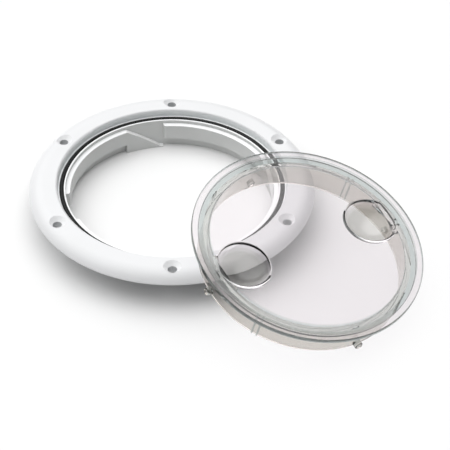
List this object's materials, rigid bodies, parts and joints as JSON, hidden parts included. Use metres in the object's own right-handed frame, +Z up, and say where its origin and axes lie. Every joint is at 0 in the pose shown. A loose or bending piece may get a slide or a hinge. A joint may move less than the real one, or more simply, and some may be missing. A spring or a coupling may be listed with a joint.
{
  "type": "deck inspection plate",
  "caption": "Round screw-out inspection plate for a boat's deck: a flanged ring with a seal and bayonet ramps, and a clear lid with finger wells, taken off and leaning on the ring.",
  "frame": {"origin": "centre of the ring on the deck face, which is the underside of its flange", "axes": "+Z up out of the deck along the ring's axis, +Y through a screw hole; the lid leans towards +X and -Y"},
  "size_m": [0.2374, 0.2291, 0.0529],
  "materials": {
    "white_plastic": "satin moulded",
    "black_rubber": "matte",
    "clear_plastic": "clear polished"
  },
  "bodies": {
    "root": {"deck_ring": "white_plastic", "sealing_ring": "black_rubber", "clear_lid": "clear_plastic"}
  },
  "joints": []
}
